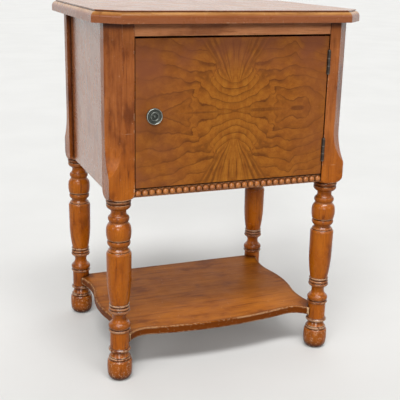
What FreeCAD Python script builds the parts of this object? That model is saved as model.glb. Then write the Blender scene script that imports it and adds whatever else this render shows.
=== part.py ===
"""Bedside cabinet: four turned leg posts, a panelled case with one hinged door, and a lower shelf.

Millimetres. The origin is on the floor amid the four legs, +X to the right, -Y to the front, +Z up.
"""
import FreeCAD
import Part
import math
import os

Vector = FreeCAD.Vector

# Case
leg_spacing_x = 376.0
leg_spacing_y = 286.0
post_width = 42.0
turned_height = 317.0
block_below_case = 5.0
case_height = 271.0

# Stopped chamfer on each post's outer corner, ending in a lamb's tongue
post_chamfer = 23.0
tongue_above_turning = 36.0
tongue_angle = 33.0
tongue_tip_radius = 8.0
shoulder_radius = 14.0

# Turned leg from the floor up: the rise of each turning, and its radius
foot_base_radius = 13.5
foot_heel_rise = 9.0
foot_heel_radius = 18.6
foot_low_radius = 20.4
foot_belly_rise = 24.0
foot_belly_radius = 21.2
foot_high_radius = 20.7
foot_shoulder_rise = 3.6
foot_shoulder_radius = 20.0
foot_groove_radius = 17.6
foot_groove_rise = 0.8
foot_ring_rise = 3.6
foot_ring_radius = 18.8
foot_ring_top_radius = 17.0
ankle_groove_rise = 0.8
ankle_groove_radius = 16.2
ankle_base_radius = 17.0
ankle_rise = 9.0
ankle_radius = 14.6
ankle_top_radius = 13.0
disc_under_rise = 1.6
disc_under_radius = 17.6
disc_bevel_rise = 1.0
disc_radius = 18.6
disc_rise = 2.2
disc_top_rise = 1.8
disc_top_radius = 16.6
block_radius = 15.9
block_below_shelf = 5.8
block_above_shelf = 10.4
block_ring_seat_radius = 16.6
block_ring_rise = 4.8
block_ring_radius = 18.4
ball_groove_radius = 16.2
ball_groove_rise = 1.6
ball_base_radius = 17.4
ball_rise = 10.0
ball_radius = 18.2
ball_top_radius = 14.4
waist_rise = 17.0
waist_radius = 11.1
waist_top_radius = 15.2
vase_ring_rise = 5.9
vase_ring_radius = 18.0
vase_ring_top_radius = 16.6
vase_ring_groove_rise = 0.7
vase_ring_groove_radius = 16.0
vase_bead_rise = 4.6
vase_bead_radius = 17.4
vase_groove_rise = 1.8
vase_groove_radius = 15.2
vase_fillet_seat_radius = 15.9
vase_fillet_rise = 3.3
vase_fillet_radius = 17.2
vase_base_radius = 15.6
vase_taper_rise = 44.0
vase_taper_radius = 18.8
vase_belly_radius = 20.2
vase_top_radius = 20.7
vase_shoulder_rise = 4.4
vase_shoulder_radius = 20.1
vase_shoulder_top_radius = 18.4
step_ring_seat_radius = 17.4
step_ring_rise = 3.2
step_ring_radius = 17.9
step_ring_top_radius = 16.6
low_cone_rise = 2.6
low_groove_radius = 14.4
low_groove_rise = 3.0
barrel_ring_seat_radius = 15.4
barrel_ring_rise = 10.4
barrel_ring_radius = 19.0
barrel_ring_top_radius = 17.6
barrel_groove_radius = 17.0
barrel_groove_rise = 1.4
barrel_base_radius = 19.0
barrel_rise = 19.7
barrel_radius = 20.6
barrel_top_radius = 20.2
barrel_cap_rise = 8.5
barrel_cap_radius = 18.8
high_groove_radius = 15.4
high_groove_rise = 2.2
neck_ring_rise = 9.2
neck_ring_radius = 17.4
neck_ring_top_radius = 16.0
neck_bevel_rise = 0.8
neck_base_radius = 14.8
neck_rise = 10.4
neck_radius = 12.4
neck_top_radius = 13.8
collar_rise = 5.0
collar_middle_radius = 18.0
collar_radius = 19.7
collar_band_rise = 4.6
collar_band_radius = 20.0
collar_groove_rise = 0.8
collar_groove_radius = 18.7
throat_rise = 6.0
throat_radius = 20.4
throat_top_radius = 19.8

# Top
top_thickness = 19.0
top_overhang = 20.0
top_corner_clip = 36.0
top_step = 2.5
top_step_inset = 6.0
top_round_drop = 8.5
top_quirk_depth = 1.0
top_quirk_height = 1.2

# Panels and rails
side_panel_thickness = 9.0
side_panel_recess = 8.0
back_panel_thickness = 5.0
back_panel_recess = 6.0
panel_tongue = 6.0
panel_play = 0.15
rail_depth = 20.0
top_rail_height = 19.5
bottom_rail_height = 13.0
face_recess = 1.0
board_thickness = 6.5
board_ledge = 8.0
board_play = 0.3
bottom_cleat_width = 12.0
top_cleat_size = 18.0

# Beads under the door
bead_count = 29
bead_spacing_gap = 0.2
bead_proud = 3.0
bead_backing = 2.0
bead_strip_margin = 0.3

# Lower shelf: how far its curved edges lie outside (+) or inside (-) the lines through the leg axes
shelf_thickness = 14.0
shelf_fit = 0.1
shelf_edge_round = 1.8
shelf_front_crown = -0.5
shelf_front_hollow = 40.9
shelf_front_bow_end = -13.4
shelf_side_crown = 2.5
shelf_side_bow_half = 46.7
shelf_side_bow_end = -2.8
shelf_horn_setback = 2.6
shelf_horn_reach = 1.2

# Door
door_thickness = 18.0
veneer_thickness = 0.8
veneer_seam = 0.1
door_gap_side = 1.5
door_gap_top = 3.2
door_gap_bottom = 2.5
door_stop_width = 9.0
door_stop_depth = 11.0
door_stop_end_gap = 15.0
door_stop_gap = 0.3

# Butt hinges
hinge_length = 38.0
hinge_spacing = 148.0
hinge_proud = 1.0
hinge_leaf_width = 15.0
hinge_leaf_thickness = 1.6
inlay_play = 0.1
knuckle_radius = 2.5
knuckle_count = 3
knuckle_gap = 0.2
knuckle_relief = 0.8
pin_radius = 1.2
pin_fixed_clearance = 0.02
pin_running_clearance = 0.05
pin_head_radius = 1.9
pin_head_height = 1.0
hinge_screw_spacing = 24.0
hinge_screw_from_axis = 9.5
hinge_screw_head_radius = 2.6
hinge_screw_shank_radius = 1.3
hinge_screw_length = 13.0

# Knob, from the door face outwards
knob_from_door_edge = 26.0
knob_base_radius = 7.0
knob_base_rise = 1.6
knob_neck_rise = 6.4
knob_neck_radius = 4.6
knob_flare_rise = 4.6
knob_rim_radius = 12.8
knob_rim_rise = 3.0
knob_rim_bevel = 1.0
knob_face_step = 1.6
knob_groove_width = 2.0
knob_ring_outer_radius = 7.4
knob_ring_inner_radius = 5.0
knob_ring_bevel = 0.7
knob_groove_slope = 0.5
knob_button_radius = 2.9
knob_button_rise = 2.4
knob_screw_radius = 2.0
knob_screw_engagement = 8.5
knob_screw_head_radius = 4.0
knob_screw_head_height = 2.4

# Bullet catch in the door's free edge
catch_above_knob = 50.0
catch_barrel_radius = 4.4
catch_barrel_length = 14.0
catch_barrel_wall = 1.2
catch_lip = 0.8
bullet_nose_radius = 2.5
bullet_flange_thickness = 1.4
bullet_reach = 2.3
bullet_clearance = 0.08
spring_wire = 0.5
spring_turns = 5.0
spring_play = 0.25
strike_width = 12.0
strike_height = 28.0
strike_thickness = 1.0
strike_hole_clearance = 0.5
strike_hole_depth = 3.0
strike_pin_spacing = 19.0
strike_pin_radius = 0.9
strike_pin_head_radius = 1.7
strike_pin_length = 9.0

# Dowels and top screws
dowel_radius = 4.0
thin_dowel_radius = 3.0
dowel_half_length = 15.0
shelf_dowel_in_leg = 10.0
shelf_dowel_in_shelf = 14.0
dowel_clearance = 0.05
dowel_end_gap = 0.5
top_screw_radius = 2.0
top_screw_head_radius = 4.0
top_screw_in_top = 12.0
top_screw_spacing = 140.0
screw_clearance = 0.05
screw_tip_rise = 2.0

# Room that a cutting solid reaches past the face that it opens
past = 5.0

# Places that follow from the sizes above
half_x = leg_spacing_x / 2
half_y = leg_spacing_y / 2
post_half = post_width / 2
outer_x = half_x + post_half
outer_y = half_y + post_half
inner_x = half_x - post_half
inner_y = half_y - post_half
case_bottom = turned_height + block_below_case
case_top = case_bottom + case_height
post_corner_reach = post_half * math.sqrt(2)
panel_inner_x = outer_x - side_panel_recess - side_panel_thickness
back_inner_y = outer_y - back_panel_recess - back_panel_thickness
front_y = -outer_y + face_recess
opening_low = case_bottom + bottom_rail_height
opening_high = case_top - top_rail_height
bead_pitch = 2 * inner_x / bead_count
bead_radius = (bead_pitch - bead_spacing_gap) / 2
bead_rail_y = front_y - bead_proud + bead_radius + bead_backing
shelf_block_foot = (foot_heel_rise + foot_belly_rise + foot_shoulder_rise + foot_groove_rise + foot_ring_rise
                    + ankle_groove_rise + ankle_rise + disc_under_rise + disc_bevel_rise + disc_rise
                    + disc_top_rise)
shelf_low = shelf_block_foot + block_below_shelf
shelf_high = shelf_low + shelf_thickness
door_left = -inner_x + door_gap_side
door_right = inner_x - door_gap_side
door_low = opening_low + door_gap_bottom
door_high = opening_high - door_gap_top
door_middle_z = (door_low + door_high) / 2
door_back_y = front_y + door_thickness
hinge_x = inner_x - door_gap_side / 2
hinge_y = -outer_y - hinge_proud
hinge_heights = {"lower": door_middle_z - hinge_spacing / 2, "upper": door_middle_z + hinge_spacing / 2}
knob_x = door_left + knob_from_door_edge
catch_y = front_y + door_thickness / 2
catch_z = door_middle_z + catch_above_knob
bullet_flange_radius = catch_barrel_radius - catch_barrel_wall - bullet_clearance
top_low = case_top
top_high = case_top + top_thickness
x_axis = Vector(1, 0, 0)
y_axis = Vector(0, 1, 0)
z_axis = Vector(0, 0, 1)


def block(low, high):
    """A box between two opposite corners."""
    size = [b - a for a, b in zip(low, high)]
    return Part.makeBox(size[0], size[1], size[2], Vector(*low))


def rod(start, direction, radius, length):
    """A round bar from a point along a direction."""
    return Part.makeCylinder(radius, length, Vector(*start), direction)


def prism(edges, height):
    """A closed flat outline raised upwards."""
    return Part.Face(Part.Wire(edges)).extrude(Vector(0, 0, height))


def lines(points):
    """Straight edges from each point to the next."""
    return [Part.makeLine(a, b) for a, b in zip(points, points[1:])]


def mirror_x(shape):
    return shape.mirror(Vector(0, 0, 0), x_axis)


def mirror_y(shape):
    return shape.mirror(Vector(0, 0, 0), y_axis)


def cut_where_met(shape, tools):
    """Cut only the tools whose boxes reach the shape's own box."""
    met = [tool for tool in tools if tool.BoundBox.intersect(shape.BoundBox)]
    return shape.cut(met) if met else shape


class Turning:
    """Half outline of a turned piece, drawn upwards from the middle of its lower end."""

    def __init__(self, radius):
        self.height = 0.0
        self.radius = radius
        self.edges = [Part.makeLine(Vector(0, 0, 0), Vector(radius, 0, 0))]

    def straight(self, rise, radius):
        """A straight run to a new radius; with no rise it is a flat ledge."""
        start = Vector(self.radius, 0, self.height)
        self.height += rise
        self.radius = radius
        self.edges.append(Part.makeLine(start, Vector(radius, 0, self.height)))

    def curve(self, rise, middle_radius, radius):
        """An arc to a new radius that passes the middle radius half way up."""
        start = Vector(self.radius, 0, self.height)
        middle = Vector(middle_radius, 0, self.height + rise / 2)
        self.height += rise
        self.radius = radius
        self.edges.append(Part.Arc(start, middle, Vector(radius, 0, self.height)).toShape())

    def dome(self, rise):
        """A spherical cap that closes the piece on its axis."""
        sphere_radius = (self.radius ** 2 + rise ** 2) / (2 * rise)
        self.curve(rise, math.sqrt(sphere_radius * rise - rise ** 2 / 4), 0.0)

    def solid(self):
        """The outline closed along its axis and turned once round."""
        top = Vector(0, 0, self.height)
        edges = list(self.edges)
        if self.radius > 0:
            edges.append(Part.makeLine(Vector(self.radius, 0, self.height), top))
        edges.append(Part.makeLine(top, Vector(0, 0, 0)))
        return Part.Face(Part.Wire(edges)).revolve(Vector(0, 0, 0), z_axis, 360)


def screw(place, direction, head_radius, shank_radius, length, slack=0.0):
    """A countersunk screw with its flat head at a place; slack makes it the hole for that screw."""
    head_rise = head_radius - shank_radius
    turning = Turning(head_radius + slack)
    turning.straight(head_rise, shank_radius + slack)
    turning.straight(length - head_rise - screw_tip_rise + slack, shank_radius + slack)
    turning.straight(screw_tip_rise, 0.0)
    return placed(turning.solid(), place, direction)


def placed(shape, place, direction):
    """Turn a shape made along +Z to point along a direction, and carry it to its place."""
    moved = shape.copy()
    moved.Placement = FreeCAD.Placement(Vector(*place), FreeCAD.Rotation(z_axis, direction))
    return moved


def turned_leg():
    """The turned part of a leg, from the foot to the square post."""
    leg = Turning(foot_base_radius)
    leg.curve(foot_heel_rise, foot_heel_radius, foot_low_radius)
    leg.curve(foot_belly_rise, foot_belly_radius, foot_high_radius)
    leg.curve(foot_shoulder_rise, foot_shoulder_radius, foot_groove_radius)
    leg.straight(foot_groove_rise, foot_groove_radius)
    leg.curve(foot_ring_rise, foot_ring_radius, foot_ring_top_radius)
    leg.straight(0, ankle_groove_radius)
    leg.straight(ankle_groove_rise, ankle_groove_radius)
    leg.straight(0, ankle_base_radius)
    leg.curve(ankle_rise, ankle_radius, ankle_top_radius)
    leg.straight(disc_under_rise, disc_under_radius)
    leg.straight(disc_bevel_rise, disc_radius)
    leg.straight(disc_rise, disc_radius)
    leg.straight(disc_top_rise, disc_top_radius)
    leg.straight(0, block_radius)
    leg.straight(block_below_shelf + shelf_thickness + block_above_shelf, block_radius)
    leg.straight(0, block_ring_seat_radius)
    leg.curve(block_ring_rise, block_ring_radius, ball_groove_radius)
    leg.straight(ball_groove_rise, ball_groove_radius)
    leg.straight(0, ball_base_radius)
    leg.curve(ball_rise, ball_radius, ball_top_radius)
    leg.curve(waist_rise, waist_radius, waist_top_radius)
    leg.curve(vase_ring_rise, vase_ring_radius, vase_ring_top_radius)
    leg.straight(0, vase_ring_groove_radius)
    leg.straight(vase_ring_groove_rise, vase_ring_groove_radius)
    leg.curve(vase_bead_rise, vase_bead_radius, vase_ring_groove_radius)
    leg.straight(0, vase_groove_radius)
    leg.straight(vase_groove_rise, vase_groove_radius)
    leg.straight(0, vase_fillet_seat_radius)
    leg.curve(vase_fillet_rise, vase_fillet_radius, vase_base_radius)
    above_vase = (vase_shoulder_rise + step_ring_rise + low_cone_rise + low_groove_rise + barrel_ring_rise
                  + barrel_groove_rise + barrel_rise + barrel_cap_rise + high_groove_rise + neck_ring_rise
                  + neck_bevel_rise + neck_rise + collar_rise + collar_band_rise + collar_groove_rise
                  + throat_rise)
    vase_rise = turned_height - above_vase - leg.height
    leg.curve(vase_taper_rise, vase_taper_radius, vase_belly_radius)
    leg.straight(vase_rise - vase_taper_rise, vase_top_radius)
    leg.curve(vase_shoulder_rise, vase_shoulder_radius, vase_shoulder_top_radius)
    leg.straight(0, step_ring_seat_radius)
    leg.curve(step_ring_rise, step_ring_radius, step_ring_top_radius)
    leg.straight(low_cone_rise, low_groove_radius)
    leg.straight(low_groove_rise, barrel_ring_seat_radius)
    leg.curve(barrel_ring_rise, barrel_ring_radius, barrel_ring_top_radius)
    leg.straight(0, barrel_groove_radius)
    leg.straight(barrel_groove_rise, barrel_groove_radius)
    leg.straight(0, barrel_base_radius)
    leg.curve(barrel_rise, barrel_radius, barrel_top_radius)
    leg.curve(barrel_cap_rise, barrel_cap_radius, high_groove_radius)
    leg.straight(high_groove_rise, high_groove_radius)
    leg.curve(neck_ring_rise, neck_ring_radius, neck_ring_top_radius)
    leg.straight(neck_bevel_rise, neck_base_radius)
    leg.curve(neck_rise, neck_radius, neck_top_radius)
    leg.curve(collar_rise, collar_middle_radius, collar_radius)
    leg.curve(collar_band_rise, collar_band_radius, collar_radius)
    leg.straight(0, collar_groove_radius)
    leg.straight(collar_groove_rise, collar_groove_radius)
    leg.curve(throat_rise, throat_radius, throat_top_radius)
    return leg.solid()


def shouldered_post():
    """The square post with its lower corners turned to a round shoulder."""
    square = block((-post_half, -post_half, turned_height), (post_half, post_half, case_top))
    turn = post_corner_reach - shoulder_radius
    lean = shoulder_radius * math.sqrt(0.5)
    bottom = Vector(turn, 0, turned_height)
    middle = Vector(turn + lean, 0, turned_height + shoulder_radius - lean)
    side = Vector(post_corner_reach, 0, turned_height + shoulder_radius)
    outside = Vector(post_corner_reach, 0, case_top)
    edges = [Part.makeLine(Vector(0, 0, turned_height), bottom), Part.Arc(bottom, middle, side).toShape()]
    edges += lines([side, outside, Vector(0, 0, case_top), Vector(0, 0, turned_height)])
    envelope = Part.Face(Part.Wire(edges)).revolve(Vector(0, 0, 0), z_axis, 360)
    return square.common(envelope)


def chamfer_cutter():
    """What the stopped chamfer takes off the corner at -X -Y: a flat, a long scoop and a rounded tip."""
    depth = post_chamfer / math.sqrt(2)
    flat = post_corner_reach - depth
    angle = math.radians(tongue_angle)
    radii = depth / (1 - math.cos(angle))
    scoop_radius = radii - tongue_tip_radius
    tip_z = turned_height + tongue_above_turning
    scoop_z = tip_z + radii * math.sin(angle)
    outward = Vector(-1, -1, 0).normalize()

    def spot(reach, height):
        return outward * reach + Vector(0, 0, height)

    def on_scoop(turn):
        return spot(flat + scoop_radius * (1 - math.cos(turn)), scoop_z - scoop_radius * math.sin(turn))

    def on_tip(turn):
        reach = post_corner_reach - tongue_tip_radius * (1 - math.cos(turn))
        return spot(reach, tip_z + tongue_tip_radius * math.sin(turn))

    edges = [Part.Arc(on_scoop(0), on_scoop(angle / 2), on_scoop(angle)).toShape(),
             Part.Arc(on_tip(angle), on_tip(angle / 2), on_tip(0)).toShape()]
    far = post_corner_reach + past
    above = case_top + past
    edges += lines([on_tip(0), spot(far, tip_z), spot(far, above), spot(flat, above), on_scoop(0)])
    across = Vector(1, -1, 0).normalize() * (2 * post_corner_reach)
    face = Part.Face(Part.Wire(edges))
    face.translate(across * -0.5)
    return face.extrude(across)


def leg_posts(tools):
    """The four leg posts, mirrored about the middle, with the joints cut in each."""
    plain = shouldered_post().cut(chamfer_cutter()).fuse(turned_leg()).removeSplitter()
    plain.translate(Vector(-half_x, -half_y, 0))
    front_left = plain
    front_right = mirror_x(plain)
    rear_left = mirror_y(plain)
    rear_right = mirror_y(front_right)
    posts = {"front_left": front_left, "front_right": front_right,
             "rear_left": rear_left, "rear_right": rear_right}
    return {"leg_post_" + name: cut_where_met(post, tools) for name, post in posts.items()}


def side_panel(side):
    """The panel between the posts on one side (-1 left, +1 right), tongued into both."""
    x_far = side * (outer_x - side_panel_recess)
    x_near = side * panel_inner_x
    reach = inner_y + panel_tongue
    return block((min(x_far, x_near), -reach, case_bottom), (max(x_far, x_near), reach, case_top))


def back_panel():
    reach = inner_x + panel_tongue
    return block((-reach, back_inner_y, case_bottom), (reach, back_inner_y + back_panel_thickness, case_top))


def panel_groove(panel):
    """The groove for a panel's tongues: the panel with play all round, open at the top."""
    box = panel.BoundBox
    low = (box.XMin - panel_play, box.YMin - panel_play, box.ZMin - panel_play)
    high = (box.XMax + panel_play, box.YMax + panel_play, box.ZMax + past)
    return block(low, high)


def rail(low_y, high_y, low_z, high_z):
    return block((-inner_x, low_y, low_z), (inner_x, high_y, high_z))


def front_top_rail():
    return rail(front_y, front_y + rail_depth, opening_high, case_top)


def rear_top_rail():
    return rail(back_inner_y - rail_depth, back_inner_y, opening_high, case_top)


def front_bottom_rail():
    """The rail behind the beads, with a ledge along its back for the bottom board."""
    back = bead_rail_y + rail_depth
    whole = rail(bead_rail_y, back, case_bottom, opening_low)
    ledge = rail(back - board_ledge, back + past, opening_low - board_thickness, opening_low + past)
    return whole.cut(ledge)


def rear_bottom_rail():
    front = back_inner_y - rail_depth
    whole = rail(front, back_inner_y, case_bottom, opening_low)
    ledge = rail(front - past, front + board_ledge, opening_low - board_thickness, opening_low + past)
    return whole.cut(ledge)


def bottom_board():
    """The cabinet floor, lying on the rails' ledges and notched round the four posts."""
    low_z = opening_low - board_thickness
    front = bead_rail_y + rail_depth - board_ledge + board_play
    back = back_inner_y - rail_depth + board_ledge - board_play
    narrow = inner_x - board_play
    wide = panel_inner_x - board_play
    between_posts = inner_y - board_play
    middle = block((-wide, -between_posts, low_z), (wide, between_posts, opening_low))
    length = block((-narrow, front, low_z), (narrow, back, opening_low))
    return middle.fuse(length).removeSplitter()


def side_cleat(side, width, low_z, high_z):
    """A strip along the inside of a side panel, between the posts."""
    x_near = side * (panel_inner_x - width)
    x_far = side * panel_inner_x
    reach = inner_y - board_play
    return block((min(x_near, x_far), -reach, low_z), (max(x_near, x_far), reach, high_z))


def top_screw_places():
    """Where the four screws enter the undersides of the top cleats."""
    x = panel_inner_x - top_cleat_size / 2
    y = top_screw_spacing / 2
    return [(sx * x, sy * y, case_top - top_cleat_size) for sx in (-1, 1) for sy in (-1, 1)]


def top_screws(slack=0.0):
    length = top_cleat_size + top_screw_in_top
    return [screw(place, z_axis, top_screw_head_radius, top_screw_radius, length, slack)
            for place in top_screw_places()]


def top_corners():
    """The eight corners of the top's outline, in order round it."""
    x = outer_x + top_overhang
    y = outer_y + top_overhang
    clip = top_corner_clip
    right = [Vector(x - clip, -y, 0), Vector(x, -y + clip, 0), Vector(x, y - clip, 0), Vector(x - clip, y, 0)]
    return right + [-corner for corner in right]


def edge_cutter(start, end):
    """What a thumbnail moulding takes off one straight edge of the top: a rounded fall, a quirk and a step."""
    along = (end - start).normalize()
    outward = along.cross(z_axis)
    round_z = top_high - top_step - top_round_drop
    step_z = top_high - top_step

    def spot(inset, height):
        return start - outward * inset + Vector(0, 0, height)

    # The round leaves the edge's face upright, so its centre lies level with its lower end.
    inset = top_step_inset
    radius = (inset ** 2 + top_round_drop ** 2) / (2 * inset)
    turn = math.asin(top_round_drop / radius) / 2
    middle = spot(radius * (1 - math.cos(turn)), round_z + radius * math.sin(turn))
    edges = [Part.Arc(spot(0, round_z), middle, spot(inset, step_z)).toShape()]
    quirk = inset + top_quirk_depth
    quirk_z = step_z + top_quirk_height
    edges += lines([spot(inset, step_z), spot(quirk, step_z), spot(quirk, quirk_z), spot(inset, quirk_z),
                    spot(inset, top_high + past), spot(-past, top_high + past), spot(-past, round_z),
                    spot(0, round_z)])
    face = Part.Face(Part.Wire(edges))
    face.translate(along * -top_corner_clip)
    return face.extrude(along * ((end - start).Length + 2 * top_corner_clip))


def table_top():
    """The clipped-corner top, moulded all round, with pilot holes for the screws from the cleats."""
    corners = top_corners()
    loop = corners + corners[:1]
    slab = prism(lines(loop), top_thickness)
    slab.translate(Vector(0, 0, top_low))
    cutters = [edge_cutter(a, b) for a, b in zip(loop, loop[1:])]
    for cutter in cutters:
        slab = slab.cut(cutter)
    return slab.cut(top_screws(screw_clearance))


def bead_moulding():
    """A row of half-round beads on a thin strip, glued to the bottom rail."""
    strip_front = bead_rail_y - bead_backing
    low = (-inner_x + bead_strip_margin, strip_front, case_bottom)
    high = (inner_x - bead_strip_margin, bead_rail_y, opening_low)
    strip = block(low, high)
    middle_z = (case_bottom + opening_low) / 2
    beads = []
    for number in range(bead_count):
        x = -inner_x + bead_pitch * (number + 0.5)
        beads.append(Part.makeSphere(bead_radius, Vector(x, strip_front, middle_z), -y_axis, 0, 90, 360))
    return strip.fuse(beads)


def arc_leaving(start, heading, end):
    """The arc that leaves a point along a heading and ends at another point."""
    chord = end - start
    sideways = z_axis.cross(heading)
    radius = chord.Length ** 2 / (2 * chord.dot(sideways))
    centre = start + sideways * radius
    halfway = (start + end) * 0.5 - centre
    return Part.Arc(start, centre + halfway.normalize() * abs(radius), end).toShape()


def serpentine(horn, setback, bow_half, bow_end, crown, along, outward, middle):
    """A curved edge of the shelf, drawn along a heading: a hollow, a middle bow and a hollow again."""
    def spot(distance, offset):
        return middle + along * distance + outward * offset

    bow = Part.Arc(spot(-bow_half, bow_end), spot(0, crown), spot(bow_half, bow_end))
    first, last = bow.toShape().ParameterRange
    leaving = bow.tangent(last)[0]
    arriving = bow.tangent(first)[0]
    near_hollow = arc_leaving(spot(-bow_half, bow_end), -arriving, spot(-horn, setback))
    far_hollow = arc_leaving(spot(bow_half, bow_end), leaving, spot(horn, setback))
    return [near_hollow, bow.toShape(), far_hollow]


def shelf_board():
    """The shelf's outline as a board: curved front and sides, a straight back, and corners on the legs."""
    horn_gap = block_radius + shelf_horn_reach
    front_horn = half_x - horn_gap
    side_horn = half_y - horn_gap
    side_sizes = (side_horn, shelf_horn_setback, shelf_side_bow_half, shelf_side_bow_end, shelf_side_crown)
    front = serpentine(front_horn, shelf_horn_setback, front_horn - shelf_front_hollow, shelf_front_bow_end,
                       shelf_front_crown, x_axis, -y_axis, Vector(0, -half_y, 0))
    right = serpentine(*side_sizes, y_axis, x_axis, Vector(half_x, 0, 0))
    left = serpentine(*side_sizes, -y_axis, -x_axis, Vector(-half_x, 0, 0))
    front_right = Vector(half_x, -half_y, 0)
    front_left = Vector(-half_x, -half_y, 0)
    rear_right = Vector(half_x, half_y, 0)
    rear_left = Vector(-half_x, half_y, 0)
    horn_y = -half_y - shelf_horn_setback
    horn_x = half_x + shelf_horn_setback
    edges = front + right + left
    edges += lines([Vector(front_horn, horn_y, 0), front_right, Vector(horn_x, -side_horn, 0)])
    edges += lines([Vector(horn_x, side_horn, 0), rear_right, rear_left, Vector(-horn_x, side_horn, 0)])
    edges += lines([Vector(-horn_x, -side_horn, 0), front_left, Vector(-front_horn, horn_y, 0)])
    board = prism(Part.__sortEdges__(edges), shelf_thickness)
    board.translate(Vector(0, 0, shelf_low))
    return board


def lower_shelf():
    """The shelf with rounded edges, its corners hollowed to fit the leg blocks and bored for their dowels."""
    board = shelf_board()
    curved = [edge for edge in board.Edges if edge.Curve.TypeId == "Part::GeomCircle"]
    board = board.makeFillet(shelf_edge_round, curved)
    hollows = [rod((sx * half_x, sy * half_y, shelf_low - past), z_axis, block_radius + shelf_fit,
                   shelf_thickness + 2 * past) for sx in (-1, 1) for sy in (-1, 1)]
    return board.cut(hollows + shelf_dowels(dowel_clearance, dowel_end_gap))


def shelf_dowels(slack=0.0, end_gap=0.0):
    """Dowels that pin the shelf's corners to the leg blocks, lying on the diagonals."""
    dowels = []
    for sx in (-1, 1):
        for sy in (-1, 1):
            inward = Vector(-sx, -sy, 0).normalize()
            start = Vector(sx * half_x, sy * half_y, (shelf_low + shelf_high) / 2)
            start += inward * (block_radius - shelf_dowel_in_leg - end_gap)
            length = shelf_dowel_in_leg + shelf_dowel_in_shelf + 2 * end_gap
            dowels.append(rod(start, inward, thin_dowel_radius + slack, length))
    return dowels


def rail_dowels(slack=0.0, end_gap=0.0):
    """Dowels in the ends of the four rails, half in the rail and half in the post."""
    top_z = (opening_high + case_top) / 2
    solid_front = bead_rail_y + (rail_depth - board_ledge) / 2
    solid_back = back_inner_y - (rail_depth - board_ledge) / 2
    low_middle = (case_bottom + opening_low) / 2
    places = [(front_y + rail_depth / 2, top_z, dowel_radius),
              (back_inner_y - rail_depth / 2, top_z, dowel_radius),
              (solid_front, low_middle, thin_dowel_radius),
              (solid_back, low_middle, thin_dowel_radius)]
    dowels = []
    for y, z, radius in places:
        for end in (-inner_x, inner_x):
            start = (end - dowel_half_length - end_gap, y, z)
            dowels.append(rod(start, x_axis, radius + slack, 2 * (dowel_half_length + end_gap)))
    return dowels


def door_stop():
    """A strip on the latch-side post that the shut door rests against."""
    y = door_back_y + door_stop_gap
    low = (-inner_x, y, opening_low + door_stop_end_gap)
    high = (-inner_x + door_stop_width, y + door_stop_depth, opening_high - door_stop_end_gap)
    return block(low, high)


def knuckle_spans(height):
    """The lower and upper ends of each knuckle of a hinge, from the bottom up."""
    share = hinge_length / knuckle_count
    low = height - hinge_length / 2
    return [(low + share * n, low + share * (n + 1)) for n in range(knuckle_count)]


def hinge_leaf(height, side):
    """One leaf with its own knuckles: side +1 is let into the post, side -1 into the door's edge."""
    low = height - hinge_length / 2
    high = height + hinge_length / 2
    face = hinge_x + side * door_gap_side / 2
    deep = face + side * hinge_leaf_thickness
    plate = block((min(face, deep), hinge_y, low), (max(face, deep), hinge_y + hinge_leaf_width, high))
    bore = pin_radius + (pin_fixed_clearance if side > 0 else pin_running_clearance)
    first = 0 if side > 0 else 1
    own = knuckle_spans(height)[first::2]
    others = knuckle_spans(height)[1 - first::2]
    for bottom, top in others:
        room = rod((hinge_x, hinge_y, bottom - knuckle_gap / 2), z_axis, knuckle_radius + knuckle_relief / 2,
                   top - bottom + knuckle_gap)
        plate = plate.cut(room)
    for bottom, top in own:
        lower = bottom if bottom == low else bottom + knuckle_gap / 2
        upper = top if top == high else top - knuckle_gap / 2
        plate = plate.fuse(rod((hinge_x, hinge_y, lower), z_axis, knuckle_radius, upper - lower))
    plate = plate.cut(rod((hinge_x, hinge_y, low - past), z_axis, bore, hinge_length + 2 * past))
    plate = plate.removeSplitter()
    return plate.cut(hinge_screws(height, side, screw_clearance))


def hinge_screws(height, side, slack=0.0):
    """The two screws of a leaf, their heads flush with its inner face."""
    face = hinge_x + side * door_gap_side / 2
    y = hinge_y + hinge_screw_from_axis
    heights = [height - hinge_screw_spacing / 2, height + hinge_screw_spacing / 2]
    return [screw((face, y, z), x_axis * side, hinge_screw_head_radius, hinge_screw_shank_radius,
                  hinge_screw_length, slack) for z in heights]


def hinge_mortise(height, side):
    """What a leaf and the knuckles take out of the post or the door's edge."""
    low = height - hinge_length / 2 - inlay_play
    face = hinge_x
    deep = hinge_x + side * (door_gap_side / 2 + hinge_leaf_thickness + inlay_play)
    back = hinge_y + hinge_leaf_width + inlay_play
    length = hinge_length + 2 * inlay_play
    seat = block((min(face, deep), -outer_y - past, low), (max(face, deep), back, low + length))
    room = rod((hinge_x, hinge_y, low - pin_head_height), z_axis, knuckle_radius + knuckle_relief,
               length + 2 * pin_head_height)
    return [seat, room] + hinge_screws(height, side, screw_clearance)


def hinge_pin(height):
    """The pin with a button at each end, held in the post leaf's knuckles."""
    reach = hinge_length / 2 + knuckle_gap / 2
    pin = Turning(pin_head_radius)
    pin.straight(pin_head_height, pin_head_radius)
    pin.straight(0, pin_radius)
    pin.straight(2 * reach, pin_radius)
    pin.straight(0, pin_head_radius)
    pin.straight(pin_head_height, pin_head_radius)
    return placed(pin.solid(), (hinge_x, hinge_y, height - reach - pin_head_height), z_axis)


def knob_screw(slack=0.0):
    """The machine screw through the door into the knob, its pan head inside the cabinet."""
    reach = door_thickness + knob_screw_engagement
    bolt = Turning(knob_screw_head_radius)
    bolt.straight(knob_screw_head_height, knob_screw_head_radius)
    bolt.straight(0, knob_screw_radius + slack)
    bolt.straight(reach + slack, knob_screw_radius + slack)
    return placed(bolt.solid(), (knob_x, door_back_y + knob_screw_head_height, door_middle_z), -y_axis)


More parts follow.
